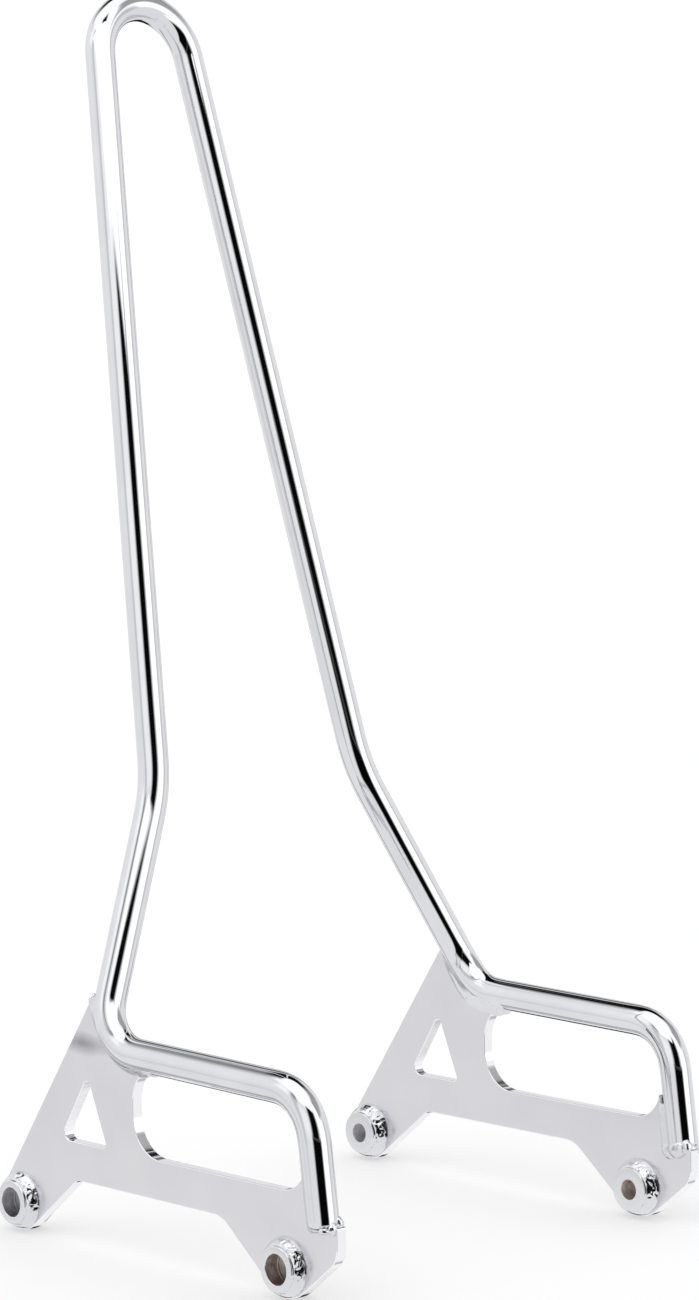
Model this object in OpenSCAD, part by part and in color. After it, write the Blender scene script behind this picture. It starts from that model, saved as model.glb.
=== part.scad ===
// Welded sissy bar: one bent round bar on two flat side plates with through bosses.
// The frame: +X to the rider's left, +Y to the rear, +Z up. The origin lies midway
// between the four bosses, on the middle plane and at the height of their axes.

/* [Bar] */
// Diameter of the round bar
bar_d = 12.7; // [10:0.1:16]
// Distance between the middles of the two side loops
loop_spacing = 200; // [160:1:260]
// Height of the run above the boss axes, at the rear bend
run_height = 71; // [60:1:90]
// How much lower the run is at the front bend
run_drop = 2; // [0:0.5:6]
// Rear corner of the run, behind the origin
run_rear_y = 23; // [10:1:40]
// Front corner of the run, ahead of the origin
run_front_y = 97; // [80:1:120]
// Height of the cut front end above the boss axes
bar_end_height = 19; // [14:1:30]
// Forward slope of the front leg from upright, in degrees
front_leg_angle = 7.5; // [0:0.5:15]
// Centreline radius of the front bend
front_bend_r = 20; // [16:0.5:28]

/* [Upright] */
// Rearward lean of the upright, in degrees
lean = 12.5; // [0:0.5:25]
// Slant height above the run at which the bar starts to turn inward
inward_start = 10.6; // [8:0.2:16]
// Length of the run taken by the rear bend
rear_bend_run = 16; // [12:0.5:22]
// Length of the lower leg taken by the rear bend
rear_bend_leg = 9.5; // [7:0.5:16]
// Slant height of the kink above the inward turn
kink_height = 91; // [60:1:140]
// Distance between the middles of the legs at the kink
kink_spacing = 112.6; // [80:0.2:160]
// Centreline radius of the kink
kink_r = 68; // [30:1:100]
// Slant height of the top of the hoop above the kink, on the bar's middle line
hoop_height = 333; // [200:1:600]
// Centreline radius of the U-bend at the top
top_bend_r = 24.4; // [18:0.2:40]

/* [Side plates] */
// Thickness of the plate
plate_t = 4.76; // [3:0.01:6.5]
// How far the middle of the plate lies inboard of the bar's middle
plate_inset = 2; // [0:0.1:2.5]
// Half of the distance between the front and rear bosses
boss_reach = 82.5; // [75:0.5:95]
// Radius of the lobe round the rear boss
lobe_r = 12.3; // [12:0.1:16]
// How far from the front boss the sloping sides of its lobe pass
front_lobe_reach = 12.7; // [12:0.1:16]
// Radius of the rounded bottom of the front lobe
front_lobe_r = 15; // [12:0.5:18]
// Slope of the lobe sides, in degrees
lobe_angle = 38.5; // [30:0.5:50]
// Lean of the rear edge from upright, in degrees
rear_edge_angle = 35.2; // [30:0.2:40]
// Height of the bottom edge between the lobes
web_bottom = 14; // [8:0.5:18]
// Front edge of the plate, ahead of the origin
plate_front_y = 111.5; // [110:0.5:118]
// Radius of the corner below the front edge
front_corner_r = 10; // [4:0.5:14]
// Radius where the bottom edge turns down to the front lobe
front_notch_r = 14; // [6:1:30]
// Radius where the bottom edge turns down to the rear lobe
rear_notch_r = 6; // [2:0.5:20]

/* [Window and triangle] */
// Height of the bottom edge of the window
window_bottom = 30; // [24:0.5:36]
// Rear edge of the window, behind the origin
window_rear_y = 8.8; // [2:0.1:14]
// Radius of the rear corners of the window
window_rear_r = 16; // [8:0.5:17]
// Straight height of the window's rear edge between its corners
window_straight = 4.8; // [0:0.2:10]
// Radius of the lower front corner of the window
window_front_r = 14; // [6:0.5:20]
// Height of the bottom edge of the triangle
triangle_bottom = 29.8; // [24:0.2:36]
// Height of the triangle's top corner before rounding
triangle_top = 58; // [50:0.5:60]
// Place of the top corner behind the origin
triangle_top_y = 37.5; // [34:0.5:40]
// Place of the front corner behind the origin
triangle_front_y = 25.5; // [22:0.5:30]
// Place of the rear corner behind the origin
triangle_rear_y = 55.5; // [48:0.5:58]
// Radius of the triangle's corners
triangle_r = 2.5; // [1:0.1:4]

/* [Bosses] */
// Outer diameter of a boss
boss_d = 18.4; // [16:0.1:21]
// How far a boss stands out of the outer face
boss_out = 5.5; // [3:0.1:10]
// How far a boss stands out of the inner face
boss_in = 6.5; // [3:0.1:12]
// Chamfer on the rims of a boss
boss_chamfer = 0.8; // [0.2:0.1:1.5]
// Diameter of the bolt hole
bolt_hole_d = 8.3; // [6:0.1:10.5]
// Diameter of the counterbore on the outer side
counterbore_d = 12.2; // [11:0.1:14]
// Depth of the counterbore
counterbore_depth = 8.5; // [2:0.1:10]

/* [Welds] */
// Width of the bead round a boss
boss_weld_w = 2.6; // [1.5:0.1:3]
// Height of the bead round a boss
boss_weld_h = 4.4; // [1.5:0.1:4.6]
// Radius of the beads along the rear bend
seam_weld_r = 2.6; // [1.5:0.1:3.5]
// Radius of the beads round the cut end of the bar
end_weld_r = 2.6; // [1.5:0.1:3.5]
// How far the beads beside the cut end reach up the front leg
end_weld_reach = 19; // [8:0.5:22]
// Gap left between pieces that are welded together
root_gap = 0.1; // [0.05:0.01:0.2]

/* [Hidden] */
$fn = 96;

CHROME = "gainsboro";
CHROME_PLATE = "lavender";
CHROME_WELD = "silver";

bar_r = bar_d / 2;
half_spacing = loop_spacing / 2;
plate_mid_x = half_spacing - plate_inset;
plate_inner_x = plate_mid_x - plate_t / 2;
plate_outer_x = plate_mid_x + plate_t / 2;

// Vectors
function unit(v) = v / norm(v);
function flip(p) = [-p.x, p.y, p.z];
function flat(p) = [p.y, p.z];
function turn_angle(a, b) = acos(max(-1, min(1, unit(a) * unit(b))));

// The bar's corners on the left side, each the meeting point of two straight stretches
lean_dir = [0, sin(lean), cos(lean)];
rear_corner = [half_spacing, run_rear_y, run_height];
front_corner = [half_spacing, -run_front_y, run_height - run_drop];
front_leg_length = (front_corner.z - bar_end_height) / cos(front_leg_angle);
bar_end = front_corner + front_leg_length * [0, -sin(front_leg_angle), -cos(front_leg_angle)];
inward_corner = rear_corner + inward_start * lean_dir;
kink_corner = [kink_spacing / 2, rear_corner.y, rear_corner.z]
    + (inward_start + kink_height) * lean_dir;

// The upper legs touch the circle of the U-bend and meet above it on the middle plane
top_centre_rise = hoop_height - top_bend_r;
leg_angle = atan(kink_corner.x / top_centre_rise)
    - asin(top_bend_r / norm([kink_corner.x, top_centre_rise]));
top_corner = [0, kink_corner.y, kink_corner.z] + kink_corner.x / tan(leg_angle) * lean_dir;

// The rear bend joins the run to the lower leg, which turn in different planes, by two
// arcs that meet halfway between their corners
run_dir = unit(rear_corner - front_corner);
leg_dir = unit(kink_corner - inward_corner);
rear_bend_start = rear_corner - rear_bend_run * run_dir;
rear_bend_end = inward_corner + rear_bend_leg * leg_dir;
bend_span = rear_bend_end - rear_bend_start;
dir_sum = run_dir + leg_dir;
dir_gap = 2 * (1 - run_dir * leg_dir);
rear_tangent = (-bend_span * dir_sum
    + sqrt(pow(bend_span * dir_sum, 2) + dir_gap * (bend_span * bend_span))) / dir_gap;
rear_corner_a = rear_bend_start + rear_tangent * run_dir;
rear_corner_b = rear_bend_end - rear_tangent * leg_dir;

// Bend radius from the length of its tangent
function radius_of(prev, corner, next, tangent) =
    tangent / tan(turn_angle(corner - prev, next - corner) / 2);

left_corners = [bar_end, front_corner, rear_corner_a, rear_corner_b, kink_corner];
left_radii = [
    0,
    front_bend_r,
    radius_of(front_corner, rear_corner_a, rear_corner_b, rear_tangent),
    radius_of(rear_corner_a, rear_corner_b, kink_corner, rear_tangent),
    kink_r
];
last = len(left_corners) - 1;
bar_corners = concat(left_corners, [top_corner], [for (i = [last:-1:0]) flip(left_corners[i])]);
bar_radii = concat(left_radii, [top_bend_r], [for (i = [last:-1:0]) left_radii[i]]);

// Length of the tangent that the bend at a corner takes from each of its stretches
function tangent_at(i) = bar_radii[i] == 0 ? 0
    : bar_radii[i] * tan(turn_angle(bar_corners[i] - bar_corners[i - 1],
                                    bar_corners[i + 1] - bar_corners[i]) / 2);

// Straight stretch of round bar from p to q
module stretch(p, q, r) {
    v = q - p;
    translate(p) rotate([0, acos(v.z / norm(v)), atan2(v.y, v.x)]) cylinder(h = norm(v), r = r);
}

// Bend of round bar of radius r at a corner, with centreline radius bend_r
module bend(prev, corner, next, bend_r, r) {
    a = unit(corner - prev);
    b = unit(next - corner);
    n = unit(b - (a * b) * a);
    w = cross(-n, a);
    centre = corner - bend_r * tan(turn_angle(a, b) / 2) * a + bend_r * n;
    multmatrix([
        [-n.x, a.x, w.x, centre.x],
        [-n.y, a.y, w.y, centre.y],
        [-n.z, a.z, w.z, centre.z],
        [0, 0, 0, 1]
    ])
        rotate_extrude(angle = turn_angle(a, b)) translate([bend_r, 0]) circle(r);
}

// Where a stretch meets a bend, both stop just short of each other inside a collar. It is
// too thin to see, and keeps the two from touching in nearly the same surface.
collar_h = 0.4;
collar_grow = 0.01;

module collar(at, along, r) {
    stretch(at - collar_h / 2 * along, at + collar_h / 2 * along, r + collar_grow);
}

// The bar between two of its corners, grown by a clearance
module bar_between(from, to, grow = 0) {
    r = bar_r + grow;
    for (i = [from:to - 1]) {
        along = unit(bar_corners[i + 1] - bar_corners[i]);
        start = bar_corners[i] + (i == 0 ? -grow : tangent_at(i)) * along;
        end = bar_corners[i + 1] - tangent_at(i + 1) * along;
        short = collar_h / 4 * along;
        straight = norm(end - start) > collar_h;
        if (straight) stretch(start + (i == from ? 0 : 1) * short,
                              end - (i == to - 1 ? 0 : 1) * short, r);
        if (i > from) {
            bend(bar_corners[i - 1], bar_corners[i], bar_corners[i + 1], bar_radii[i], r);
            if (straight) collar(start, along, r);
        }
        if (i < to - 1) collar(end, along, r);
    }
}

module hoop_bar() {
    color(CHROME) bar_between(0, len(bar_corners) - 1);
}

// The left end of the bar, a root gap larger all round, as a cutter for plate and welds
module bar_cutter() {
    bar_between(0, last, root_gap);
}

// Outlines with round corners. Points run anticlockwise, each with its own radius.
function corner_turn(p, i) =
    let (n = len(p), a = unit(p[i] - p[(i + n - 1) % n]), b = unit(p[(i + 1) % n] - p[i]))
    a.x * b.y - a.y * b.x;
function corner_arc(p, r, i) =
    let (n = len(p), a = unit(p[i] - p[(i + n - 1) % n]), b = unit(p[(i + 1) % n] - p[i]),
         side = sign(corner_turn(p, i)), turn = turn_angle(a, b),
         centre = p[i] - r[i] * tan(turn / 2) * a + side * r[i] * [-a.y, a.x],
         from = atan2(-side * a.x, side * a.y), steps = ceil(turn / 4))
    [for (k = [0:steps]) centre + r[i] * [cos(from + side * turn * k / steps),
                                          sin(from + side * turn * k / steps)]];

module rounded(p, r) {
    polygon([for (i = [0:len(p) - 1]) each r[i] > 0 ? corner_arc(p, r, i) : [p[i]]]);
}

// Corner whose sides, with outward normals u and v, both touch a circle
function lobe_corner(centre, r, u, v) = centre + r * (u + v) / (1 + u * v);

rear_boss_at = [boss_reach, 0];
front_boss_at = [-boss_reach, 0];
rear_edge_normal = [cos(rear_edge_angle), sin(rear_edge_angle)];
forward_down = [-sin(lobe_angle), -cos(lobe_angle)];
rearward_down = [sin(lobe_angle), -cos(lobe_angle)];
rear_lobe_corner = lobe_corner(rear_boss_at, lobe_r, rear_edge_normal, forward_down);
front_lobe_corner = lobe_corner(front_boss_at, front_lobe_reach, forward_down, rearward_down);

// Where the sloping sides of the lobes meet the bottom and front edges
web_rear_y = boss_reach - (web_bottom + lobe_r / cos(lobe_angle)) / tan(lobe_angle);
web_front_y = boss_reach - (web_bottom + front_lobe_reach / cos(lobe_angle)) / tan(lobe_angle);
front_low_z = (plate_front_y - boss_reach) * tan(lobe_angle) - front_lobe_reach / cos(lobe_angle);

// The plate is cut square to its faces, to the outline of the bar seen from the side,
// so that the bar rests against the edge at its widest
edge_off = bar_r + root_gap;
function right_of(d) = [d.y, -d.x];

// Points of that outline along the bend at a corner, from its end back to its start
function bend_edge(i) =
    let (a = unit(bar_corners[i] - bar_corners[i - 1]),
         b = unit(bar_corners[i + 1] - bar_corners[i]),
         n = unit(b - (a * b) * a), turn = turn_angle(a, b), r = bar_radii[i],
         centre = bar_corners[i] - tangent_at(i) * a + r * n, steps = ceil(turn / 4))
    [for (k = [steps:-1:0])
        let (t = turn * k / steps)
        flat(centre - r * cos(t) * n + r * sin(t) * a)
            + edge_off * right_of(unit(flat(cos(t) * a + sin(t) * n)))];

// The plate's tip, where its rear edge meets the back of the leg
leg_flat = unit(flat(leg_dir));
leg_back = flat(rear_bend_end) + edge_off * right_of(leg_flat);
plate_tip = leg_back + (lobe_r - (leg_back - rear_boss_at) * rear_edge_normal)
    / (leg_flat * rear_edge_normal) * leg_flat;

// The window's upper rear corner is an arc that runs out at the bar
run_flat = unit(flat(run_dir));
run_up = -right_of(run_flat);
window_rear_z = window_bottom + window_rear_r + window_straight;
window_rear_centre = [window_rear_y - window_rear_r, window_rear_z];
run_gap = (flat(rear_corner) - window_rear_centre) * run_up - edge_off;
window_run_angle = atan2(run_up.y, run_up.x) - acos(run_gap / window_rear_r);

// So is its lower front corner, at the back of the front leg
front_leg_up = [sin(front_leg_angle), cos(front_leg_angle)];
front_leg_back = [cos(front_leg_angle), -sin(front_leg_angle)];
foot = flat(bar_end);
bite = 0.8;
front_arc_off = edge_off - bite + window_front_r;
front_arc_up = (window_bottom + window_front_r - foot.y + front_arc_off * sin(front_leg_angle))
    / cos(front_leg_angle);
window_front_centre = foot + front_arc_up * front_leg_up + front_arc_off * front_leg_back;
window_leg_angle = 180 - front_leg_angle + acos((window_front_r - bite) / window_front_r);

// The shelf under the cut end of the bar
shelf_rear = foot + edge_off * front_leg_back - root_gap * front_leg_up;
shelf_front = shelf_rear
    - (plate_front_y + shelf_rear.x) / cos(front_leg_angle) * front_leg_back;

function arc(centre, r, from, to) =
    let (steps = ceil(abs(to - from) / 4))
    [for (k = [0:steps]) let (t = from + (to - from) * k / steps) centre + r * [cos(t), sin(t)]];

// The lower part of the outline, from the shelf forward, down and back to the rear lobe
lower_points = [
    plate_tip,
    shelf_rear,
    shelf_front,
    [-plate_front_y, front_low_z],
    front_lobe_corner,
    [-web_front_y, web_bottom],
    [web_rear_y, web_bottom],
    rear_lobe_corner
];
lower_radii = [0, 0, 0, front_corner_r, front_lobe_r, front_notch_r, rear_notch_r, lobe_r];
plate_outline = concat(
    [plate_tip],
    bend_edge(3),
    bend_edge(2),
    arc(window_rear_centre, window_rear_r, window_run_angle, 0),
    arc([window_rear_centre.x, window_bottom + window_rear_r], window_rear_r, 0, -90),
    arc(window_front_centre, window_front_r, 270, window_leg_angle),
    [shelf_rear, shelf_front],
    corner_arc(lower_points, lower_radii, 3),
    corner_arc(lower_points, lower_radii, 4),
    corner_arc(lower_points, lower_radii, 5),
    corner_arc(lower_points, lower_radii, 6),
    corner_arc(lower_points, lower_radii, 7)
);

triangle_points = [
    [triangle_top_y, triangle_top],
    [triangle_front_y, triangle_bottom],
    [triangle_rear_y, triangle_bottom]
];
triangle_radii = [triangle_r, triangle_r, triangle_r];

// Sets a turned piece, drawn along +Z from the origin, along +X at a boss
module along_x(x, at) {
    translate([x, at.x, at.y]) rotate([0, 90, 0]) children();
}

// Outlines are drawn in Y and Z, and set upright at the plate's inner face
module left_plate() {
    difference() {
        translate([plate_inner_x, 0, 0]) rotate([90, 0, 90])
            linear_extrude(plate_t) difference() {
                polygon(plate_outline);
                rounded(triangle_points, triangle_radii);
            }
        for (at = [rear_boss_at, front_boss_at])
            along_x(plate_inner_x - 1, at) cylinder(h = plate_t + 2, r = boss_d / 2 + root_gap);
    }
}

boss_inner_x = plate_inner_x - boss_in;
boss_outer_x = plate_outer_x + boss_out;
boss_length = boss_outer_x - boss_inner_x;
counterbore_floor = boss_length - counterbore_depth;

// Half section of a boss, from its axis outward, with the bolt hole and the counterbore
boss_section = [
    [bolt_hole_d / 2, 0],
    [boss_d / 2 - boss_chamfer, 0],
    [boss_d / 2, boss_chamfer],
    [boss_d / 2, boss_length - boss_chamfer],
    [boss_d / 2 - boss_chamfer, boss_length],
    [counterbore_d / 2, boss_length],
    [counterbore_d / 2, counterbore_floor],
    [bolt_hole_d / 2, counterbore_floor]
];

module left_boss(at) {
    along_x(boss_inner_x, at) rotate_extrude() polygon(boss_section);
}

// Half section of the bead round a boss: a slightly crowned fillet
weld_inner_r = boss_d / 2 + root_gap;
weld_crown = 0.62;
boss_weld_section = [
    [weld_inner_r, root_gap],
    [weld_inner_r + boss_weld_w, root_gap],
    [weld_inner_r + boss_weld_w * weld_crown, root_gap + boss_weld_h * weld_crown],
    [weld_inner_r, root_gap + boss_weld_h]
];

module boss_weld() {
    rotate_extrude() polygon(boss_weld_section);
}

module left_outer_weld(at) {
    along_x(plate_outer_x, at) boss_weld();
}

module left_inner_weld(at) {
    along_x(plate_inner_x, at) mirror([0, 0, 1]) boss_weld();
}

// Beads that follow the bar are round, and half sunk in the plate and the bar. Each is
// drawn along its seam, in the plane of a plate face, and cut back to its root gaps.
function on_face(x, p) = [x, p.x, p.y];

// Distance from the bar's middle line to its surface, in a plane off its middle by dx
function reach_off(dx) = sqrt(pow(bar_r, 2) - pow(dx, 2));

// The seam's end on the leg, at the top of the plate, where the leg has turned inward
function leg_seam_y(x) =
    let (along = (plate_tip.y - inward_corner.z) / leg_dir.z,
         off = abs(inward_corner.x + along * leg_dir.x - x))
    inward_corner.y + along * leg_dir.y + reach_off(off) * norm([leg_dir.y, leg_dir.z]) / leg_dir.z;

run_slope = run_drop / (run_front_y + run_rear_y);
function run_seam(x, y) =
    [y, run_height - (run_rear_y - y) * run_slope - reach_off(half_spacing - x)];

// Path of the seam along the rear bend: under the run, then up behind the leg
function bend_seam(x) =
    let (start = run_seam(x, -3),
         top = [leg_seam_y(x), plate_tip.y - 1],
         low = run_seam(x, run_rear_y + 0.62 * reach_off(half_spacing - x)))
    [on_face(x, start), on_face(x, low), on_face(x, top)];

// Path of the seam round the cut end: down behind the front leg, then forward under it
function end_seam(x, under) =
    let (off = reach_off(half_spacing - x))
    [on_face(x, foot + end_weld_reach * front_leg_up + off * front_leg_back),
     on_face(x, foot + off * front_leg_back),
     on_face(x, foot - under * off * front_leg_back)];

// Half of a bead, from its tapered end at p to q
module tapered(p, q, r) {
    v = q - p;
    translate(p) rotate([0, acos(v.z / norm(v)), atan2(v.y, v.x)])
        rotate_extrude() polygon([[0, 0], [0.45 * r, 0], [r, r], [r, norm(v)], [0, norm(v)]]);
}

// A bead round a sharp corner, with a drop of weld metal on the corner itself
module corner_bead(path, r) {
    translate(path[1]) sphere(r + 0.15);
    for (end = [path[0], path[2]]) tapered(end, path[1], r);
}

// A bead round a wide bend
module bead(path, corner_r, r) {
    a = unit(path[1] - path[0]);
    b = unit(path[2] - path[1]);
    tangent = corner_r * tan(turn_angle(a, b) / 2);
    before = path[1] - tangent * a;
    after = path[1] + tangent * b;
    tapered(path[0], before - collar_h / 4 * a, r);
    collar(before, a, r);
    bend(path[0], path[1], path[2], corner_r, r);
    collar(after, b, r);
    tapered(path[2], after + collar_h / 4 * b, r);
}

// What lies past the outer face (side 1) or the inner face (side -1) of the left plate
module beyond_face(side) {
    x = side > 0 ? plate_outer_x + root_gap : plate_inner_x - root_gap - 20;
    translate([x, -150, -20]) cube([20, 300, 140]);
}

// The straight part of the front leg, a root gap larger all round
module leg_cutter() {
    leg_up = unit(front_corner - bar_end);
    stretch(bar_end - root_gap * leg_up, bar_end + (end_weld_reach + 10) * leg_up,
            bar_r + root_gap);
}

module left_bend_weld(side, x) {
    difference() {
        intersection() {
            bead(bend_seam(x), bar_radii[2] + bar_r, seam_weld_r);
            beyond_face(side);
        }
        bar_cutter();
    }
}

module left_end_weld(side, x) {
    under = side > 0 ? 0.7 : 0.2;
    difference() {
        intersection() {
            corner_bead(end_seam(x, under), end_weld_r);
            beyond_face(side);
        }
        leg_cutter();
    }
}

// The right side is a mirror image of the left one
module right() {
    mirror([1, 0, 0]) children();
}

module left_side_plate() { color(CHROME_PLATE) left_plate(); }
module right_side_plate() { color(CHROME_PLATE) right() left_plate(); }
module left_rear_boss() { color(CHROME) left_boss(rear_boss_at); }
module left_front_boss() { color(CHROME) left_boss(front_boss_at); }
module right_rear_boss() { color(CHROME) right() left_boss(rear_boss_at); }
module right_front_boss() { color(CHROME) right() left_boss(front_boss_at); }
module left_rear_outer_weld() { color(CHROME_WELD) left_outer_weld(rear_boss_at); }
module left_rear_inner_weld() { color(CHROME_WELD) left_inner_weld(rear_boss_at); }
module left_front_outer_weld() { color(CHROME_WELD) left_outer_weld(front_boss_at); }
module left_front_inner_weld() { color(CHROME_WELD) left_inner_weld(front_boss_at); }
module right_rear_outer_weld() { color(CHROME_WELD) right() left_outer_weld(rear_boss_at); }
module right_rear_inner_weld() { color(CHROME_WELD) right() left_inner_weld(rear_boss_at); }
module right_front_outer_weld() { color(CHROME_WELD) right() left_outer_weld(front_boss_at); }
module right_front_inner_weld() { color(CHROME_WELD) right() left_inner_weld(front_boss_at); }
module left_bend_outer_weld() { color(CHROME_WELD) left_bend_weld(1, plate_outer_x); }
module left_bend_inner_weld() { color(CHROME_WELD) left_bend_weld(-1, plate_inner_x); }
module right_bend_outer_weld() { color(CHROME_WELD) right() left_bend_weld(1, plate_outer_x); }
module right_bend_inner_weld() { color(CHROME_WELD) right() left_bend_weld(-1, plate_inner_x); }
module left_end_outer_weld() { color(CHROME_WELD) left_end_weld(1, plate_outer_x); }
module left_end_inner_weld() { color(CHROME_WELD) left_end_weld(-1, plate_inner_x); }
module right_end_outer_weld() { color(CHROME_WELD) right() left_end_weld(1, plate_outer_x); }
module right_end_inner_weld() { color(CHROME_WELD) right() left_end_weld(-1, plate_inner_x); }

hoop_bar();
left_side_plate();
right_side_plate();
left_rear_boss();
left_front_boss();
right_rear_boss();
right_front_boss();
left_rear_outer_weld();
left_rear_inner_weld();
left_front_outer_weld();
left_front_inner_weld();
right_rear_outer_weld();
right_rear_inner_weld();
right_front_outer_weld();
right_front_inner_weld();
left_bend_outer_weld();
left_bend_inner_weld();
right_bend_outer_weld();
right_bend_inner_weld();
left_end_outer_weld();
left_end_inner_weld();
right_end_outer_weld();
right_end_inner_weld();
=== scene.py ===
import math
import random

import bpy
import numpy as np
from mathutils import Matrix, Vector
from mathutils.geometry import tessellate_polygon
from mathutils.noise import noise as perlin


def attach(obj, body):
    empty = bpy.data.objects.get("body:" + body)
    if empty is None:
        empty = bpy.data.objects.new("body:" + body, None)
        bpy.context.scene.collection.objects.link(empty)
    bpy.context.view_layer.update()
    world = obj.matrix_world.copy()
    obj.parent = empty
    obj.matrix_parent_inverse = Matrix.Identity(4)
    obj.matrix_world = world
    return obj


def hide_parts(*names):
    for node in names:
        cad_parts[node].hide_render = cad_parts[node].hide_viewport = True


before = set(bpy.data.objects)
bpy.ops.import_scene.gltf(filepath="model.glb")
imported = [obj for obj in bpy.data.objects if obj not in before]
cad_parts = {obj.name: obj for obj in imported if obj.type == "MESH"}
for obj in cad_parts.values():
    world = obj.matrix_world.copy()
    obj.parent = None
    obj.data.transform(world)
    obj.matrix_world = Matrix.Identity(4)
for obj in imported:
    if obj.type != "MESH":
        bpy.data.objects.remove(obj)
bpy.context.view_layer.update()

# Lengths are in mm until an object is made. The shapes are worked out for the left side,
# and side is 1 for the left and -1 for the right, which mirrors them in x = 0.
MM = 0.001

# The part's sizes, as its source has them
BAR_R = 6.35
HALF = 100.0
RUN_Z = 71
RUN_DROP = 2
RUN_REAR_Y = 23
RUN_FRONT_Y = 97
BAR_END_Z = 19
LEG_ANGLE = math.radians(7.5)
FRONT_BEND_R = 20
LEAN = math.radians(12.5)
INWARD_START = 10.6
REAR_BEND_RUN = 16
REAR_BEND_LEG = 9.5
KINK_HEIGHT = 91
KINK_HALF = 56.3
KINK_R = 68
HOOP_HEIGHT = 333
TOP_R = 24.4

PLATE_T = 4.76
PLATE_INSET = 2.0
PLATE_MID = HALF - PLATE_INSET
PLATE_IN = PLATE_MID - PLATE_T / 2
PLATE_OUT = PLATE_MID + PLATE_T / 2
ROOT_GAP = 0.1
REACH = 82.5
LOBE_R = 12.3
FRONT_LOBE_REACH = 12.7
FRONT_LOBE_R = 15.0
LOBE_ANGLE = math.radians(38.5)
REAR_ANGLE = math.radians(35.2)
WEB_Z = 14.0
FRONT_Y = 111.5
FRONT_CORNER_R = 10
FRONT_NOTCH_R = 14
REAR_NOTCH_R = 6

WIN_Z = 30.0
WIN_Y = 8.8
WIN_R = 16.0
WIN_STRAIGHT = 4.8
WIN_FRONT_R = 14.0
BITE = 0.8
TRIANGLE = ((37.5, 58), (25.5, 29.8), (55.5, 29.8))
# The source rounds the three corners alike, and these radii are the photo's
TRIANGLE_R = (2.0, 1.8, 3.2)

BOSS_R = 18.4 / 2
BOSS_OUT = 5.5
BOSS_IN = 6.5
HOLE_R = 4.15
BORE_R = 6.1
BORE_DEPTH = 8.5


def vec(*v):
    return np.array(v, float)


def unit(v):
    return v / np.linalg.norm(v)


def turn(a, b):
    """The angle between two directions."""
    return math.acos(max(-1.0, min(1.0, float(unit(a) @ unit(b)))))


# The bar's corners on the left side, as the source works them out
lean_dir = vec(0, math.sin(LEAN), math.cos(LEAN))
rear_corner = vec(HALF, RUN_REAR_Y, RUN_Z)
front_corner = vec(HALF, -RUN_FRONT_Y, RUN_Z - RUN_DROP)
bar_end = front_corner + (front_corner[2] - BAR_END_Z) / math.cos(LEG_ANGLE) * vec(
    0, -math.sin(LEG_ANGLE), -math.cos(LEG_ANGLE))
inward_corner = rear_corner + INWARD_START * lean_dir
kink_corner = vec(KINK_HALF, RUN_REAR_Y, RUN_Z) + (INWARD_START + KINK_HEIGHT) * lean_dir
rise = HOOP_HEIGHT - TOP_R
hoop_angle = math.atan(KINK_HALF / rise) - math.asin(TOP_R / math.hypot(KINK_HALF, rise))
top_corner = vec(0, kink_corner[1], kink_corner[2]) + KINK_HALF / math.tan(hoop_angle) * lean_dir
run_dir = unit(rear_corner - front_corner)
leg_dir = unit(kink_corner - inward_corner)

# The rear bend is two arcs that touch, with one tangent length for both
bend_start = rear_corner - REAR_BEND_RUN * run_dir
bend_end = inward_corner + REAR_BEND_LEG * leg_dir
span = bend_end - bend_start
along_both = float(span @ (run_dir + leg_dir))
spread = 2 * (1 - float(run_dir @ leg_dir))
rear_t = (-along_both + math.sqrt(along_both ** 2 + spread * float(span @ span))) / spread
corner_a = bend_start + rear_t * run_dir
corner_b = bend_end - rear_t * leg_dir


def radius_of(before, corner, after, tangent):
    return tangent / math.tan(turn(corner - before, after - corner) / 2)


left_corners = [bar_end, front_corner, corner_a, corner_b, kink_corner]
left_radii = [0, FRONT_BEND_R, radius_of(front_corner, corner_a, corner_b, rear_t),
              radius_of(corner_a, corner_b, kink_corner, rear_t), KINK_R]
REAR_BENDS = (2, 3)
corners = left_corners + [top_corner] + [c * vec(-1, 1, 1) for c in reversed(left_corners)]
radii = left_radii + [TOP_R] + list(reversed(left_radii))


def bend_at(i):
    """The bend at a corner: its ends, directions, centre, radius and turn."""
    a = unit(corners[i] - corners[i - 1])
    b = unit(corners[i + 1] - corners[i])
    t = turn(a, b)
    n = unit(b - float(a @ b) * a)
    start = corners[i] - radii[i] * math.tan(t / 2) * a
    return {"a": a, "n": n, "turn": t, "radius": radii[i], "start": start,
            "end": corners[i] + radii[i] * math.tan(t / 2) * b, "centre": start + radii[i] * n}


def on_bend(bend, t):
    """The point of a bend's middle line after turning by t, and the direction there."""
    point = bend["centre"] + bend["radius"] * (-math.cos(t) * bend["n"] + math.sin(t) * bend["a"])
    return point, math.cos(t) * bend["a"] + math.sin(t) * bend["n"]


def bar_path(straight_step, turn_step):
    """Points along the bar's middle line from the left cut end to the right one."""
    touching = 0.01
    pts = [corners[0]]
    at = corners[0]
    for i in range(1, len(corners)):
        bend = bend_at(i) if i < len(corners) - 1 else None
        end = bend["start"] if bend else corners[-1]
        gap = np.linalg.norm(end - at)
        steps = max(1, round(gap / straight_step)) if gap > touching else 0
        pts += [at + (end - at) * k / steps for k in range(1, steps + 1)]
        if bend:
            steps = max(2, math.ceil(math.degrees(bend["turn"]) / turn_step))
            pts += [on_bend(bend, bend["turn"] * k / steps)[0] for k in range(1, steps + 1)]
            at = bend["end"]
    return np.array(pts)


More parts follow.
